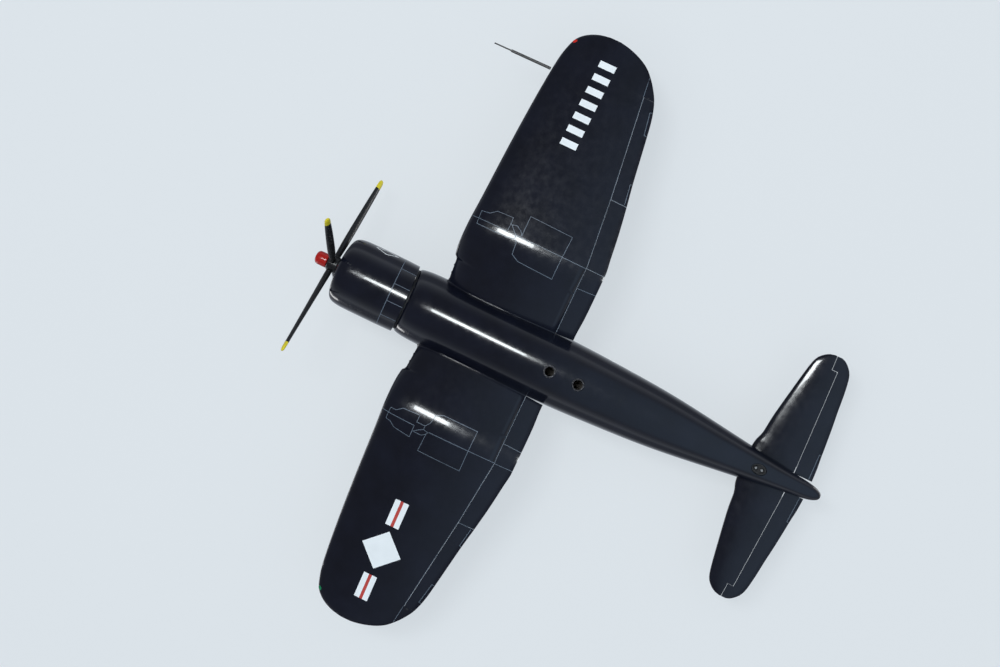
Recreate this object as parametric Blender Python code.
"""A small electric scale model of a gull-winged naval fighter, as separate pieces.

Drawing frame, in millimetres: +X to the left (port) wing tip, +Y aft, +Z up, with X = 0 on the
centreline, Y = 0 at the trailing edge of the wing's fold line and Z = 0 on the propeller shaft.
at() moves a drawing point to the part's own frame, whose origin is midway between the two stand
sockets in the belly, and to metres.
"""

import math

import bmesh
import bpy
from mathutils import Vector

MM = 0.001
ORIGIN = (0.0, 3.75, -20.5)
WALL = 1.3  # skin of the moulded fuselage
FIT = 0.3  # gap left between two pieces that are glued or screwed together
SEAM = 0.35  # gap at a hinge line and between neighbouring control surfaces

# Fuselage stations: (Y, half width, top Z, bottom Z).
FUSELAGE = [
    (-104.8, 19.8, 19.8, -19.8),
    (-104.0, 20.4, 20.4, -20.4),
    (-102.5, 20.9, 20.9, -21.0),
    (-98.5, 21.5, 21.3, -21.6),
    (-90.0, 21.9, 21.5, -22.2),
    (-60.0, 22.0, 21.6, -22.8),
    (-30.0, 21.7, 21.7, -22.4),
    (0.0, 21.2, 22.0, -20.9),
    (20.0, 20.4, 22.2, -18.9),
    (40.0, 19.3, 21.8, -16.6),
    (60.0, 17.9, 21.0, -14.0),
    (80.0, 15.8, 20.0, -11.2),
    (100.0, 13.2, 18.8, -8.0),
    (121.0, 10.4, 17.5, -4.2),
    (140.0, 7.8, 16.2, -0.3),
    (155.0, 5.8, 14.8, 3.0),
    (163.0, 4.7, 13.6, 5.0),
    (167.5, 3.2, 12.2, 6.6),
    (169.6, 1.6, 10.8, 8.0),
]
TAIL_TIP = (0.0, 170.0, 9.4)
NOSE_SLANT = 0.22  # the cowl's back edge and the fuselage's front edge run aft at the bottom

# Wing planform, as (X, Y) along each edge, and greatest thickness at each X.
LEADING_EDGE = [
    (8, -86.2), (30, -86.4), (37, -86.6), (38.6, -87.9), (45, -88.4), (57, -88.0), (75, -87.3),
    (105, -86.6), (135, -85.5), (160, -84.0), (172, -82.8), (180, -81.0), (185, -79.1),
    (188.5, -76.2), (191.5, -71.9), (193.8, -65.9), (194.7, -60.5),
]
TRAILING_EDGE = [
    (8, -2.2), (24, -1.9), (36, -0.9), (45, -0.5), (57, -0.2), (64, -0.2), (75, -1.6), (90, -3.7),
    (105, -6.3), (120, -9.2), (135, -11.7), (150, -14.2), (160, -16.1), (170, -19.3),
    (178, -24.1), (184, -29.1), (187, -32.4), (190, -37.4), (192.5, -43.6), (193.8, -48.2),
    (194.7, -53.2),
]
THICKNESS = [
    (8, 13.2), (20, 13.0), (57, 11.8), (107, 9.6), (150, 7.2), (178, 5.0), (190, 3.0), (194.7, 1.0),
]
HINGE_LINE = [(8, -13.5), (19, -13.5), (51.5, -12.4), (63.8, -12.1), (106.6, -17.2), (178, -27.6)]
ROOT_Z = -3.5
INNER_SLOPE, OUTER_SLOPE = -0.40, 0.1495  # the gull wing drops to the bend, then rises
BEND_START, BEND_END = 49.0, 65.0
UPPER, LOWER = 1.08, 0.92  # share of the thickness above and below the chord line
AIRFOIL_POINTS = 7

# Spans of the hinged surfaces along X: three flaps and an aileron each side.
INNER_FLAP = (22.0, 51.4)
MIDDLE_FLAP = (51.75, 63.65)
OUTER_FLAP = (64.0, 106.4)
AILERON = (106.8, 170.0)
FLAP_DOWN, AILERON_THROW, ELEVATOR_THROW, RUDDER_THROW = 40.0, 20.0, 22.0, 28.0

# Tailplane: (X, Y) along each edge.
TAIL_Z = 14.0
TAIL_LE = [
    (3, 120.0), (14, 121.4), (20, 123.3), (30, 124.3), (40, 125.8), (50, 127.5), (60, 129.2),
    (70, 131.2), (74, 132.6), (77, 135.1), (79.4, 138.7), (80.4, 142.6),
]
TAIL_TE = [
    (3, 162.2), (14, 161.6), (20, 160.9), (30, 160.0), (40, 159.0), (50, 157.8), (60, 156.8),
    (70, 155.3), (74, 153.9), (77, 151.6), (79.4, 148.6), (80.4, 145.8),
]
TAIL_THICKNESS = [(3, 4.6), (40, 3.8), (74, 2.4), (80.4, 1.0)]
TAIL_HINGE = [(3, 150.2), (9.9, 149.9), (71.2, 147.2)]
HORN_HINGE = [(71.4, 143.5), (80.4, 143.1)]
ELEVATOR_AXIS = (148.6, 12.7)
ELEVATOR_ROOT = 5.8

# Fin and rudder: (Z, Y) along each edge.
FIN_LE = [(8, 99), (18, 103), (26, 109), (36, 114.5), (46, 119.5), (52, 123.8), (55.5, 128.5),
          (57.4, 134.5)]
RUDDER_TE = [(18, 161.0), (28, 161.4), (38, 160.0), (47, 156.8), (53, 152.2), (56, 147.2),
             (57.4, 141.0)]
FIN_THICKNESS = [(8, 4.6), (30, 3.8), (50, 2.6), (57.4, 1.0)]
RUDDER_AXIS_Y = 139.4
RUDDER_BOTTOM = 19.2

# Propeller and spinner.
PROP_Y = -156.2
PROP_RADIUS = 64.0
PROP_ANGLE = math.radians(24.4)
HUB_RADIUS = 5.2

# Canopy: (Y, half width, top Z).
CANOPY = [
    (-34.0, 7.4, 22.6), (-31.0, 8.0, 25.6), (-26.0, 8.5, 29.8), (-20.0, 8.8, 32.4),
    (-12.0, 8.9, 33.8), (-3.0, 8.8, 33.8), (5.0, 8.2, 32.0), (12.0, 7.2, 29.0), (18.0, 5.6, 25.8),
    (22.0, 3.6, 23.6),
]
HATCH = (-58.0, 26.0, 13.0)  # first Y, last Y, half width

SOCKETS = (-5.5, 13.0)  # Y of each stand socket
SOCKET_BORE, SOCKET_RADIUS = 2.9, 3.7

NAVY = (0.012, 0.016, 0.030, 1)
BLACK = (0.015, 0.015, 0.017, 1)
METAL = (0.55, 0.55, 0.56, 1)
WOOD = (0.55, 0.38, 0.20, 1)
COCKPIT = (0.05, 0.07, 0.05, 1)


def at(x, y, z):
    return Vector(((x - ORIGIN[0]) * MM, (y - ORIGIN[1]) * MM, (z - ORIGIN[2]) * MM))


def curve(table, t, column=1):
    """A smooth value that passes through the table's points and never overshoots them."""
    t = min(max(t, table[0][0]), table[-1][0])
    i = 0
    while i < len(table) - 2 and t > table[i + 1][0]:
        i += 1

    def step(k):
        return (table[k + 1][column] - table[k][column]) / (table[k + 1][0] - table[k][0])

    def slope(k):
        if k == 0:
            return step(0)
        if k == len(table) - 1:
            return step(k - 1)
        a, b = step(k - 1), step(k)
        return 0.0 if a * b <= 0 else 2 * a * b / (a + b)

    width = table[i + 1][0] - table[i][0]
    u = (t - table[i][0]) / width
    a, b = table[i][column], table[i + 1][column]
    return (
        a * (1 + 2 * u) * (1 - u) ** 2
        + slope(i) * width * u * (1 - u) ** 2
        + b * u * u * (3 - 2 * u)
        + slope(i + 1) * width * u * u * (u - 1)
    )


def line(table, t):
    """Straight lines between the table's points."""
    t = min(max(t, table[0][0]), table[-1][0])
    for (a, va), (b, vb) in zip(table, table[1:]):
        if t <= b:
            return va + (vb - va) * (t - a) / (b - a)
    return table[-1][1]


# ---------------------------------------------------------------- building blocks


def material(name, colour, roughness, metallic):
    made = bpy.data.materials.new(name)
    made.use_nodes = True
    shader = made.node_tree.nodes["Principled BSDF"]
    shader.inputs["Base Color"].default_value = colour
    shader.inputs["Roughness"].default_value = roughness
    shader.inputs["Metallic"].default_value = metallic
    return made


def solid(name, points, faces, colour=NAVY, pivot=ORIGIN, roughness=0.3, metallic=0.0):
    """One closed mesh from drawing points, its origin at pivot, facing outwards."""
    base = at(*pivot)
    mesh = bpy.data.meshes.new(name)
    mesh.from_pydata([at(*p) - base for p in points], [], faces)
    work = bmesh.new()
    work.from_mesh(mesh)
    bmesh.ops.recalc_face_normals(work, faces=work.faces)
    if work.calc_volume(signed=True) < 0:
        bmesh.ops.reverse_faces(work, faces=work.faces)
    for edge in work.edges:
        edge.smooth = len(edge.link_faces) == 2 and edge.calc_face_angle() < math.radians(38)
    for face in work.faces:
        face.smooth = True
    work.to_mesh(mesh)
    work.free()
    made = bpy.data.objects.new(name, mesh)
    made.location = base
    made.data.materials.append(material(name, colour, roughness, metallic))
    bpy.context.scene.collection.objects.link(made)
    return made


def loft(name, rings, closed=False, **look):
    """Skins rings of equal length. closed joins the last ring to the first, and no cap is made."""
    count = len(rings[0])
    points = [p for ring in rings for p in ring]
    faces = []
    spans = len(rings) if closed else len(rings) - 1
    for i in range(spans):
        a, b = i * count, (i + 1) % len(rings) * count
        for j in range(count):
            k = (j + 1) % count
            faces.append((a + j, a + k, b + k, b + j))
    if not closed:
        faces.append(tuple(range(count)))
        last = (len(rings) - 1) * count
        faces.append(tuple(last + j for j in range(count)))
    return solid(name, points, faces, **look)


def revolve(name, profile, axis="Y", centre=(0.0, 0.0), segments=24, bend=None, **look):
    """Turns (radius, position) points about a line along axis. A point of radius 0 is a pole."""

    def place(radius, along, angle):
        a, b = radius * math.cos(angle), radius * math.sin(angle)
        if axis == "Y":
            p = (centre[0] + a, along, centre[1] + b)
        elif axis == "Z":
            p = (centre[0] + a, centre[1] + b, along)
        else:
            p = (along, centre[0] + a, centre[1] + b)
        return bend(p) if bend else p

    open_ended = profile[0][0] == 0
    points, rows = [], []
    for radius, along in profile:
        rows.append(range(len(points), len(points) + (segments if radius else 1)))
        points += [place(radius, along, 2 * math.pi * j / segments) for j in range(len(rows[-1]))]
    faces = []
    pairs = list(zip(rows, rows[1:])) if open_ended else list(zip(rows, rows[1:] + rows[:1]))
    for a, b in pairs:
        for j in range(segments):
            k = (j + 1) % segments
            corners = (a[j % len(a)], a[k % len(a)], b[k % len(b)], b[j % len(b)])
            faces.append(tuple(dict.fromkeys(corners)))
    return solid(name, points, faces, **look)


def hexahedron(name, corner, x_span, y_span, z_span, **look):
    """A six-sided block whose corners are corner(x, y, z) at the ends of the three spans."""
    x0, x1 = x_span
    y0, y1 = y_span
    z0, z1 = z_span
    low = [corner(*p) for p in ((x0, y0, z0), (x1, y0, z0), (x1, y1, z0), (x0, y1, z0))]
    high = [corner(*p) for p in ((x0, y0, z1), (x1, y0, z1), (x1, y1, z1), (x0, y1, z1))]
    return loft(name, [low, high], **look)


def block(name, x_span, y_span, z_span, **look):
    return hexahedron(name, lambda x, y, z: (x, y, z), x_span, y_span, z_span, **look)


def extrude_x(name, outline, x_span, **look):
    """A flat outline of (y, z) points, drawn out along X."""
    return loft(name, [[(x, y, z) for y, z in outline] for x in x_span], **look)


def helper(made):
    made.hide_render = True
    made.display_type = "WIRE"
    return made


def combine(target, others, operation="DIFFERENCE"):
    for other in others:
        helper(other)
        modifier = target.modifiers.new(f"{operation.lower()} {other.name}", "BOOLEAN")
        modifier.operation = operation
        modifier.solver = "EXACT"
        modifier.object = other
    return target


# ---------------------------------------------------------------- fuselage


def slant(y, z):
    """The front edge leans: it runs forward at the top and aft at the bottom."""
    share = min(max((-84.0 - y) / 20.5, 0.0), 1.0)
    return y - NOSE_SLANT * z * share


def fuselage_ring(y, inset, count=28, leaning=True):
    half = curve(FUSELAGE, y, 1) - inset
    top = curve(FUSELAGE, y, 2) - inset
    bottom = curve(FUSELAGE, y, 3) + inset
    middle, height = (top + bottom) / 2, (top - bottom) / 2
    ring = []
    for j in range(count):
        angle = 2 * math.pi * j / count
        x, z = half * math.cos(angle), middle + height * math.sin(angle)
        ring.append((x, slant(y, z) if leaning else y, z))
    return ring


def deck(x, y, inset=0.0):
    """Height of the fuselage's upper surface."""
    half = curve(FUSELAGE, y, 1) - inset
    top, bottom = curve(FUSELAGE, y, 2) - inset, curve(FUSELAGE, y, 3) + inset
    middle, height = (top + bottom) / 2, (top - bottom) / 2
    return middle + height * math.sqrt(max(0.0, 1 - (x / half) ** 2))


def fuselage_solid(name, swell):
    """The fuselage without its hollow, a little larger, for trimming what joins it."""
    stations = [s[0] for s in FUSELAGE[:-1]]
    rings = [fuselage_ring(y, -swell) for y in stations]
    return loft(name, rings + [fuselage_ring(169.6, -swell)])


def make_fuselage():
    outer = [fuselage_ring(s[0], 0.0) for s in FUSELAGE]
    inner_stations = (-104.8, -102.5, -97, -60, -20, 20, 50, 80, 110, 135, 150, 155)
    inner = [fuselage_ring(y, WALL) for y in inner_stations]
    count = len(outer[0])
    points = [p for ring in outer for p in ring]
    faces = []
    for i in range(len(outer) - 1):
        for j in range(count):
            k = (j + 1) % count
            faces.append((i * count + j, i * count + k, (i + 1) * count + k, (i + 1) * count + j))
    tip = len(points)
    points.append(TAIL_TIP)
    last = (len(outer) - 1) * count
    faces += [(last + j, last + (j + 1) % count, tip) for j in range(count)]
    first_inner = len(points)
    points += [p for ring in inner for p in ring]
    for i in range(len(inner) - 1):
        a, b = first_inner + i * count, first_inner + (i + 1) * count
        for j in range(count):
            k = (j + 1) % count
            faces.append((a + j, a + k, b + k, b + j))
    pole = len(points)
    points.append((0.0, 158.5, 8.9))
    last = first_inner + (len(inner) - 1) * count
    faces += [(last + j, last + (j + 1) % count, pole) for j in range(count)]
    for j in range(count):
        k = (j + 1) % count
        faces.append((j, k, first_inner + k, first_inner + j))
    shell = solid("fuselage_shell", points, faces, roughness=0.2)
    first, last_y, half = HATCH
    cutters = [
        block("cut_hatch", (-half - FIT, half + FIT), (first - FIT, last_y + FIT), (9, 40)),
        revolve("cut_joiner", [(0, -30), (2.3, -30), (2.3, 30), (0, 30)], "X", (-50, -6), 16),
        revolve("cut_elevator", [(0, -9), (2.5, -9), (2.5, 9), (0, 9)], "X", (151.6, 13.3), 16),
        revolve("cut_rudder", [(0, 10), (1.2, 10), (1.2, 25), (0, 25)], "Z",
                (0, RUDDER_AXIS_Y), 12),
        oval("cut_tail_well", 3.3, 4.8, 130.0, -9.0, 2.6),
    ]
    for i, y in enumerate(SOCKETS):
        hole = SOCKET_RADIUS + FIT
        cutters.append(revolve(f"cut_socket_{i}", [(0, -30), (hole, -30), (hole, -12), (0, -12)],
                               "Z", (0, y), 20))
    return combine(shell, cutters)


def oval(name, half_x, half_y, y, low, high):
    rings = []
    for z in (low, high):
        angles = [2 * math.pi * j / 20 for j in range(20)]
        rings.append([(half_x * math.cos(a), y + half_y * math.sin(a), z) for a in angles])
    return loft(name, rings)


def make_hatch():
    """The part of the top skin that lifts off with the canopy."""
    first, last, half = HATCH
    rings = []
    for y in (first, -45, -30, -15, 0, 13, last):
        ring = []
        for inset in (0.0, WALL):
            steps = range(11) if inset == 0.0 else range(10, -1, -1)
            for j in steps:
                x = half * (1 - j / 5)
                ring.append((x, y, deck(x, y, inset)))
        rings.append(ring)
    hatch = loft("canopy_hatch", rings, roughness=0.2)
    return combine(hatch, [block("cut_cockpit", (-6.8, 6.8), (-29, 8), (10, 30))])


def make_canopy():
    rings = []
    for y, half, top in CANOPY:
        ring = []
        for inset in (0.0, 0.8):
            foot = deck(half, y) + 0.12
            rise = top - foot - inset
            steps = range(13) if inset == 0.0 else range(12, -1, -1)
            for j in steps:
                angle = math.pi * j / 12
                x = (half - inset) * math.cos(angle)
                z = foot + rise * math.sin(angle)
                if inset:
                    z = max(z, deck(x, y) + 0.12)
                ring.append((x, y, z))
        rings.append(ring)
    return loft("canopy_glass", rings, colour=(0.75, 0.85, 0.9, 0.4), roughness=0.05)


def rectangle(x, y_span, z):
    y0, y1 = y_span
    return [(-x, y0, z), (x, y0, z), (x, y1, z), (-x, y1, z)]


def make_cockpit():
    dark = {"colour": COCKPIT, "roughness": 0.6}
    tub = loft("cockpit_tub", [
        rectangle(6.5, (-28.7, 7.7), 10.3), rectangle(6.5, (-28.7, 7.7), 20.4),
        rectangle(5.7, (-27.9, 6.9), 20.4), rectangle(5.7, (-27.9, 6.9), 11.1),
    ], **dark)
    seat = [(-11, 10.7), (-2, 10.7), (0.5, 23.5), (-1.2, 24.0), (-4.2, 13.4), (-11, 13.4)]
    panel = [(-25.5, 10.7), (-24.3, 10.7), (-23.4, 19.8), (-24.8, 20.2)]
    combine(tub, [extrude_x("join_seat", seat, (-3.6, 3.6)),
                  extrude_x("join_panel", panel, (-5.3, 5.3))], "UNION")


# ---------------------------------------------------------------- nose


def make_nose():
    def lean(p):
        share = min(max((p[1] + 130.0) / 18.0, 0.0), 1.0)
        return (p[0], p[1] - NOSE_SLANT * p[2] * share, p[2])

    cowl = [
        (18.7, -148.6), (19.8, -148.2), (20.7, -147.0), (21.3, -145.2), (21.75, -142.0),
        (21.9, -138.0), (21.9, -118.0), (21.6, -106.1), (20.5, -106.1), (20.7, -118.0),
        (20.7, -138.0), (20.4, -142.0), (19.9, -144.6), (18.8, -146.6), (18.0, -147.6),
    ]
    revolve("engine_cowl", cowl, segments=36, bend=lean, roughness=0.2)

    # The dummy radial: nine cylinder heads round a crankcase, with a clear way for the shaft.
    def star(radius, inner, y):
        ring = []
        for j in range(36):
            angle = 2 * math.pi * j / 36
            r = radius if j % 4 in (1, 2) else inner
            ring.append((r * math.cos(angle), y, r * math.sin(angle)))
        return ring

    rings = [star(19.3, 12.5, -139.6), star(19.3, 12.5, -143.6), star(8.4, 8.4, -144.2),
             star(7.6, 7.6, -147.4), star(5.4, 5.4, -149.0), star(2.6, 2.6, -149.0),
             star(2.6, 2.6, -139.6)]
    loft("dummy_engine", rings, closed=True, colour=(0.20, 0.20, 0.21, 1), metallic=0.6,
         roughness=0.5)
    inset = WALL + 0.8
    rings = [fuselage_ring(y, inset, 28, leaning=False) for y in (-97.6, -95.6)]
    firewall = loft("firewall", rings, colour=WOOD, roughness=0.7)
    mount = [(11, -97.0), (11, -122), (3.6, -122), (3.6, -120.4), (9.6, -120.4), (9.6, -97.0)]
    combine(firewall, [revolve("join_motor_mount", mount, segments=20)], "UNION")
    stator = [(1.9, -122.3), (1.9, -136.0), (9.6, -136.0), (9.6, -126.0), (5.0, -126.0),
              (5.0, -124.2), (10.8, -124.2), (10.8, -122.3)]
    revolve("motor_stator", stator, segments=20, colour=METAL, metallic=0.9)
    bell = [(0, -159.0), (1.5, -159.0), (1.5, -138.9), (11.2, -138.9), (11.2, -125.4),
            (10.2, -125.4), (10.2, -137.0), (1.5, -137.0), (1.5, -123.4), (0, -123.4)]
    revolve("motor_bell", bell, segments=20, pivot=(0, -132, 0), colour=METAL, metallic=0.9)
    shaft = 1.8
    hub = [(shaft, -159.4), (HUB_RADIUS - 0.6, -159.4), (HUB_RADIUS, -158.8),
           (HUB_RADIUS, -152.2), (HUB_RADIUS - 0.6, -151.6), (shaft, -151.6)]
    revolve("prop_hub", hub, pivot=(0, PROP_Y, 0), colour=BLACK, roughness=0.4)
    dome = [(0, -167.8), (2.6, -167.7), (3.7, -167.2), (4.2, -166.3), (4.3, -165.2),
            (4.3, -160.2), (4.0, -159.7), (0, -159.7)]
    revolve("spinner_dome", dome, pivot=(0, PROP_Y, 0), colour=(0.55, 0.02, 0.02, 1),
            roughness=0.25)
    for i in range(4):
        make_blade(i + 1, PROP_ANGLE + i * math.pi / 2)


# Blade sections: (radius, chord, thickness, pitch in degrees).
BLADE = [
    (5.5, 3.8, 3.8, 60), (9, 4.0, 3.7, 52), (14, 4.6, 3.2, 45), (24, 5.0, 2.8, 38),
    (38, 5.0, 2.5, 32), (52, 4.6, 2.2, 28), (58.5, 4.2, 2.2, 26), (62.6, 3.6, 2.0, 26),
    (PROP_RADIUS, 2.2, 1.2, 26),
]


def make_blade(number, angle):
    out = Vector((math.cos(angle), 0, math.sin(angle)))
    turning = Vector((math.sin(angle), 0, -math.cos(angle)))  # clockwise, seen from behind
    forward = Vector((0, -1, 0))
    rings = []
    for radius, chord, thick, pitch in BLADE:
        tilt = math.radians(pitch)
        along = turning * math.cos(tilt) + forward * math.sin(tilt)
        across = forward * math.cos(tilt) - turning * math.sin(tilt)
        middle = out * radius + Vector((0, PROP_Y, 0))
        ring = []
        for j in range(12):
            a = 2 * math.pi * j / 12
            ring.append(tuple(middle + along * (chord / 2 * math.cos(a))
                              + across * (thick / 2 * math.sin(a))))
        rings.append(ring)
    loft(f"prop_blade_{number}", rings, pivot=(0, PROP_Y, 0), colour=BLACK, roughness=0.35)


# ---------------------------------------------------------------- wings


def bend_line(x):
    """Height and slope of the wing's chord plane at x."""
    if x <= BEND_START:
        return ROOT_Z + INNER_SLOPE * (x - 20.0), INNER_SLOPE
    start = ROOT_Z + INNER_SLOPE * (BEND_START - 20.0)
    change = (OUTER_SLOPE - INNER_SLOPE) / (BEND_END - BEND_START)
    d = min(x, BEND_END) - BEND_START
    z, slope = start + INNER_SLOPE * d + change * d * d / 2, INNER_SLOPE + change * d
    return (z + OUTER_SLOPE * (x - BEND_END), OUTER_SLOPE) if x > BEND_END else (z, slope)


def wing_point(side, x, y, h):
    """The drawing point h above the chord plane, square to it, at (x, y)."""
    z, slope = bend_line(x)
    tilt = math.atan(slope)
    return (side * (x - h * math.sin(tilt)), y, z + h * math.cos(tilt))


def half_thickness(u):
    u = min(max(u, 0.0), 1.0)
    return 5 * (0.2969 * math.sqrt(u) - 0.126 * u - 0.3516 * u**2 + 0.2843 * u**3 - 0.1036 * u**4)


def surfaces(x, y):
    """Heights of the lower and upper skins of the wing."""
    front, back = curve(LEADING_EDGE, x), curve(TRAILING_EDGE, x)
    thick = curve(THICKNESS, x) * half_thickness((y - front) / (back - front))
    return -max(LOWER * thick, 0.2), max(UPPER * thick, 0.2)


def wing_section(side, x, cut):
    """The wing's outline at x, from its leading edge back to Y = cut."""
    front = curve(LEADING_EDGE, x)
    ring = []
    for lower in (True, False):
        steps = range(AIRFOIL_POINTS, 0, -1) if lower else range(AIRFOIL_POINTS + 1)
        for j in steps:
            share = (1 - math.cos(math.pi * j / AIRFOIL_POINTS)) / 2 if j < AIRFOIL_POINTS else 1.0
            share = share * 0.45 + (j / AIRFOIL_POINTS) ** 1.7 * 0.55
            y = front + (cut - front) * share
            low, high = surfaces(x, y)
            if j == 0:
                low = high = 0.0
            ring.append(wing_point(side, x, y, low if lower else high))
    return ring


def strip_section(side, x, front, back, slope):
    """A hinged surface's outline at x: its nose slopes back so that it clears when it turns."""
    low, high = surfaces(x, front)
    top_front = front + (high - low) * slope
    outline = [
        (front, low),
        ((front + back) / 2, surfaces(x, (front + back) / 2)[0]),
        (back, surfaces(x, back)[0]),
        (back, surfaces(x, back)[1]),
        ((top_front + back) / 2, surfaces(x, (top_front + back) / 2)[1]),
        (top_front, surfaces(x, top_front)[1]),
    ]
    return [wing_point(side, x, y, h) for y, h in outline]


def hinge_end(side, x, drop):
    low, _ = surfaces(x, line(HINGE_LINE, x) + SEAM)
    return Vector(wing_point(side, x, line(HINGE_LINE, x) + SEAM, low - drop))


def make_wing(side, word):
    stations = [9, 14, 20, 28, 37, 38.6, 45, 49, 52, 55, 58, 61, 65, 75, 90, 106.6, 120, 135, 150,
                160, 170.35]
    rings = [wing_section(side, x, line(HINGE_LINE, x)) for x in stations]
    for x in (170.36, 175, 180, 185, 188.5, 191.5, 193.8, 194.7):
        rings.append(wing_section(side, x, curve(TRAILING_EDGE, x)))
    wing = loft(f"{word}_wing", rings, roughness=0.2)

    def place(x, y, h):
        return wing_point(side, x, y, h)

    cutters = [fuselage_solid(f"cut_{word}_root", 0.15)]
    tube = [(0, 4), (2.3, 4), (2.3, 30.6), (0, 30.6)]
    if side < 0:
        tube = [(r, -x) for r, x in tube]
    cutters.append(revolve(f"cut_{word}_bore", tube, "X", (-50, -6), 16))
    for i, x in enumerate((23.0, 27.8, 32.6)):
        cutters.append(hexahedron(f"cut_{word}_intake_{i}", place, (x, x + 4.1), (-95, -80),
                                  (-1.3, 1.8)))
    cutters.append(hexahedron(f"cut_{word}_servo", place, (118, 133.6), (-52.5, -34), (-2.1, 14)))
    cutters.append(ellipsoid(f"cut_{word}_light", side, (3.5, 2.6, 1.35)))
    combine(wing, cutters)
    colour = (0.6, 0.03, 0.02, 1) if side > 0 else (0.02, 0.35, 0.12, 1)
    light = ellipsoid(f"{word}_nav_light", side, (3.2, 2.3, 1.05), colour)
    light.data.materials[0].node_tree.nodes["Principled BSDF"].inputs["Roughness"].default_value = 0.1

    for name, (x0, x1) in (("inner", INNER_FLAP), ("middle", MIDDLE_FLAP), ("outer", OUTER_FLAP)):
        drop = 0.9 if name == "middle" else 0.25
        a, b = hinge_end(side, x0, drop), hinge_end(side, x1, drop)
        stations = [x0 + (x1 - x0) * j / 4 for j in range(5)]
        rings = [strip_section(side, x, line(HINGE_LINE, x) + SEAM, curve(TRAILING_EDGE, x), 0.0)
                 for x in stations]
        loft(f"{word}_{name}_flap", rings, pivot=tuple((a + b) / 2), roughness=0.2)

    x0, x1 = AILERON
    a, b = hinge_end(side, x0, 0.0), hinge_end(side, x1, 0.0)
    stations = [x0, 114, 122, 130, 138, 146, 154, 162, x1]
    rings = [strip_section(side, x, line(HINGE_LINE, x) + SEAM, curve(TRAILING_EDGE, x), 0.42)
             for x in stations]
    aileron = loft(f"{word}_aileron", rings, pivot=tuple((a + b) / 2), roughness=0.2)
    base = line(HINGE_LINE, 131.6)
    horn = hexahedron(f"join_{word}_horn", place, (131.2, 132.2), (base + 1.9, base + 3.6),
                      (-0.4, 6.0))
    combine(aileron, [horn], "UNION")

    servo = {"colour": (0.03, 0.05, 0.12, 1), "roughness": 0.5}
    hexahedron(f"{word}_aileron_servo", place, (118.4, 130.6), (-51.8, -36.2), (-1.8, 3.6), **servo)
    pivot = place(131.6, -40, 0.9)
    hexahedron(f"{word}_aileron_servo_arm", place, (131.0, 132.1), (-41.1, -38.9), (-0.6, 6.9),
               pivot=pivot, colour=(0.8, 0.8, 0.8, 1), roughness=0.5)
    rod(f"{word}_aileron_pushrod", place(132.85, -41.0, 6.1), place(132.85, base + 3.6, 5.2), 0.4)


def ellipsoid(name, side, size, colour=NAVY):
    """A small lamp, or the recess for one, in the leading edge of the wing tip."""
    x, y = 182.5, -77.6
    middle = wing_point(side, x, y, 0.0)
    rings = []
    for i in range(1, 6):
        a = math.pi * i / 6
        ring = []
        for j in range(12):
            b = 2 * math.pi * j / 12
            ring.append((middle[0] - side * size[0] * math.cos(a),
                         middle[1] + size[1] * math.sin(a) * math.cos(b),
                         middle[2] + size[2] * math.sin(a) * math.sin(b)))
        rings.append(ring)
    return loft(name, rings, colour=colour)


def rod(name, start, end, radius, count=8):
    start, end = Vector(start), Vector(end)
    along = (end - start).normalized()
    side = along.cross(Vector((0, 0, 1))).normalized()
    up = side.cross(along)
    rings = []
    for middle in (start, end):
        ring = []
        for j in range(count):
            a = 2 * math.pi * j / count
            ring.append(tuple(middle + side * (radius * math.cos(a)) + up * (radius * math.sin(a))))
        rings.append(ring)
    return loft(name, rings, pivot=tuple(start), colour=METAL, metallic=0.9, roughness=0.3)


# ---------------------------------------------------------------- tail


def tail_surfaces(x, y):
    front, back = curve(TAIL_LE, x), curve(TAIL_TE, x)
    thick = curve(TAIL_THICKNESS, x) * half_thickness((y - front) / (back - front))
    return TAIL_Z - max(thick, 0.2), TAIL_Z + max(thick, 0.2)


def tail_section(side, x, cut):
    front = curve(TAIL_LE, x)
    ring = []
    for lower in (True, False):
        steps = range(5, 0, -1) if lower else range(6)
        for j in steps:
            y = front + (cut - front) * (j / 5) ** 1.6
            low, high = tail_surfaces(x, y)
            if j == 0:
                low = high = TAIL_Z
            ring.append((side * x, y, low if lower else high))
    return ring


def elevator_section(side, x, front):
    back = curve(TAIL_TE, x)
    low, high = tail_surfaces(x, front)
    top_front = min(front + (high - low) * 0.46, back - 0.3)
    middle = (top_front + back) / 2
    return [
        (side * x, front, low), (side * x, middle, tail_surfaces(x, middle)[0]),
        (side * x, back, tail_surfaces(x, back)[0]), (side * x, back, tail_surfaces(x, back)[1]),
        (side * x, middle, tail_surfaces(x, middle)[1]),
        (side * x, top_front, tail_surfaces(x, top_front)[1]),
    ]


def make_tail(side, word):
    stations = [3.5, 10, 20, 35, 50, 62, 71.2]
    rings = [tail_section(side, x, line(TAIL_HINGE, x)) for x in stations]
    for x in (71.21, 74, 77, 79.4, 80.2):
        rings.append(tail_section(side, x, line(HORN_HINGE, x)))
    made = loft(f"{word}_stabilizer", rings, roughness=0.2)
    combine(made, [fuselage_solid(f"cut_{word}_tail_root", 0.12)])
    pivot = (0, *ELEVATOR_AXIS)
    rings = [elevator_section(side, x, line(TAIL_HINGE, x) + SEAM)
             for x in (ELEVATOR_ROOT, 10, 20, 35, 50, 62, 71.55)]
    for x in (71.56, 74, 77, 79.4, 80.2):
        rings.append(elevator_section(side, x, line(HORN_HINGE, x) + SEAM))
    loft(f"{word}_elevator", rings, pivot=pivot, roughness=0.2)


def fin_half(z, y):
    front, back = curve(FIN_LE, z), curve(RUDDER_TE, z)
    return max(curve(FIN_THICKNESS, z) * half_thickness((y - front) / (back - front)), 0.2)


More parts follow.
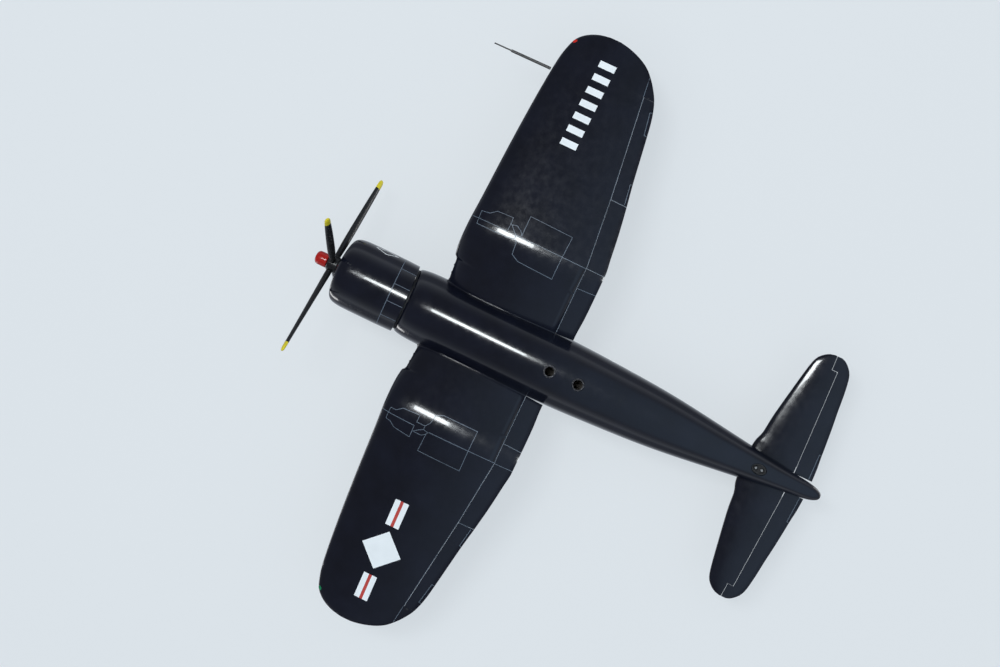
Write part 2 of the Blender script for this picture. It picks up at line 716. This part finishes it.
def make_fin():
    rings = []
    for z in (10, 18, 26, 36, 46, 52, 55.5, 57.2):
        front, cut = curve(FIN_LE, z), RUDDER_AXIS_Y - 1.2
        ring = []
        for left in (True, False):
            steps = range(5, 0, -1) if left else range(6)
            for j in steps:
                y = front + (cut - front) * (j / 5) ** 1.5
                half = 0.0 if j == 0 else fin_half(z, y)
                ring.append((half if left else -half, y, z))
        rings.append(ring)
    fin = loft("fin", rings, roughness=0.2)
    combine(fin, [fuselage_solid("cut_fin_root", 0.12)])
    rings = []
    for z in (RUDDER_BOTTOM, 28, 38, 47, 53, 56, 57.2):
        back = curve(RUDDER_TE, z)
        nose = RUDDER_AXIS_Y - 0.85
        half = fin_half(z, RUDDER_AXIS_Y)
        shoulder = nose + half * 0.62
        middle = (shoulder + back) / 2
        rings.append([
            (0.15, nose, z), (half, shoulder, z), (fin_half(z, middle), middle, z),
            (0.2, back, z), (-0.2, back, z), (-fin_half(z, middle), middle, z),
            (-half, shoulder, z), (-0.15, nose, z),
        ])
    loft("rudder", rings, pivot=(0, RUDDER_AXIS_Y, 30), roughness=0.2)
    steel = {"colour": METAL, "metallic": 0.9}
    post = revolve("rudder_torque_rod", [(0, 9.4), (0.8, 9.4), (0.8, 18.9), (0, 18.9)], "Z",
                   (0, RUDDER_AXIS_Y), 10, pivot=(0, RUDDER_AXIS_Y, 12), **steel)
    arm = block("join_rudder_arm", (-5.2, 0.3), (RUDDER_AXIS_Y - 0.7, RUDDER_AXIS_Y + 0.7),
                (9.5, 10.5))
    combine(post, [arm], "UNION")
    pivot = (0, *ELEVATOR_AXIS)
    reach = ELEVATOR_ROOT - 0.2
    joiner = revolve("elevator_joiner", [(0, -reach), (0.8, -reach), (0.8, reach), (0, reach)],
                     "X", (151.6, 13.3), 10, pivot=pivot, **steel)
    combine(joiner, [block("join_elevator_horn", (2.7, 3.6), (150.9, 152.3), (7.5, 13.3))],
            "UNION")


# ---------------------------------------------------------------- inside and small pieces


def make_radio():
    block("battery_tray", (-12.2, 12.2), (-94, -17), (-15.6, -14.2), colour=WOOD, roughness=0.7)
    block("battery_pack", (-12, 12), (-92, -57), (-12.8, -1.5), colour=(0.05, 0.12, 0.35, 1))
    block("speed_controller", (-11.5, -0.8), (-45, -22), (-13.9, -8.8), colour=(0.3, 0.02, 0.02, 1))
    block("radio_receiver", (0.8, 11.5), (-43, -25), (-13.9, -7.6), colour=(0.08, 0.08, 0.08, 1))
    tube = [(1.3, -30), (2.0, -30), (2.0, 30), (1.3, 30)]
    revolve("wing_joiner", tube, "X", (-50, -6), 16, colour=BLACK, roughness=0.4)
    tray = block("servo_tray", (-18.6, 18.6), (-16, 17), (-2.4, -0.9), colour=WOOD, roughness=0.7)
    openings = [block(f"cut_servo_{i}", (x - 4.6, x + 4.6), (-10.4, 10.4), (-6, 6))
                for i, x in enumerate((8.5, -8.5))]
    combine(tray, openings)
    for x, inward, word in ((8.5, -1, "elevator"), (-8.5, 1, "rudder")):
        outline = [(-10, -10), (10, -10), (10, -0.6), (13.2, -0.6), (13.2, 0.8), (10, 0.8),
                   (10, 5.0), (7.2, 5.0), (7.2, 6.0), (2.8, 6.0), (2.8, 5.0), (-10, 5.0),
                   (-10, 0.8), (-13.2, 0.8), (-13.2, -0.6), (-10, -0.6)]
        extrude_x(f"{word}_servo", outline, (x - 4.2, x + 4.2), colour=(0.03, 0.05, 0.12, 1))
        far = x + inward * 7.6
        block(f"{word}_servo_arm", (min(x + 1.2, far), max(x - 1.2, far)) if inward < 0 else
              (x - 1.2, far), (4.0, 6.0), (6.3, 7.4), pivot=(x, 5.0, 7), colour=(0.8, 0.8, 0.8, 1))
    rod("elevator_pushrod", (2.0, 4.4, 8.3), (1.8, 152.3, 8.3), 0.45)
    rod("rudder_pushrod", (-2.0, 4.4, 8.3), (-4.4, 140.1, 8.3), 0.45)


def make_small_pieces():
    steel = {"colour": METAL, "metallic": 0.9}
    base = block("socket_block", (-5.9, 5.9), (-12, 19.5), (-16.2, -10.9), colour=WOOD,
                 roughness=0.7)
    holes = []
    for i, (y, word) in enumerate(zip(SOCKETS, ("front", "rear"))):
        foot = curve(FUSELAGE, y, 3) - 0.35
        ring = [(SOCKET_BORE, foot), (SOCKET_RADIUS, foot), (SOCKET_RADIUS, -11.2),
                (SOCKET_BORE, -11.2)]
        revolve(f"stand_socket_{word}", ring, "Z", (0, y), 24, pivot=(0, y, foot), **steel)
        gap = SOCKET_RADIUS + FIT
        holes.append(revolve(f"cut_block_{i}", [(0, -25), (gap, -25), (gap, -5), (0, -5)], "Z",
                             (0, y), 20))
    combine(base, holes)

    rings = []
    for half_x, half_y, z in ((3.0, 4.5, -0.9), (3.0, 4.5, 2.3), (2.3, 3.8, -0.9),
                              (2.3, 3.8, 1.6)):
        angles = [2 * math.pi * j / 20 for j in range(20)]
        rings.append([(half_x * math.cos(a), 130 + half_y * math.sin(a), z) for a in angles])
    loft("tail_well", [rings[1], rings[0], rings[2], rings[3]], colour=BLACK, roughness=0.6)
    for y, word in ((128.0, "front"), (131.8, "rear")):
        revolve(f"tail_well_screw_{word}", [(0, -0.2), (0.8, -0.2), (1.1, 0.2), (1.1, 1.4), (0, 1.4)],
                "Z", (0, y), 12, **steel)
    x, _, z = wing_point(1, 163.0, 0, 0)
    pitot = [(0, -122.0), (0.4, -122.0), (0.45, -111.0), (0.85, -110.6), (0.9, -84.5), (0, -84.5)]
    revolve("pitot_probe", pitot, centre=(x, z), segments=10, colour=BLACK)


def clear_scene():
    for made in list(bpy.data.objects):
        bpy.data.objects.remove(made, do_unlink=True)


clear_scene()
make_fuselage()
make_hatch()
make_canopy()
make_cockpit()
make_nose()
for hand, label in ((1, "left"), (-1, "right")):
    make_wing(hand, label)
    make_tail(hand, label)
make_fin()
make_radio()
make_small_pieces()
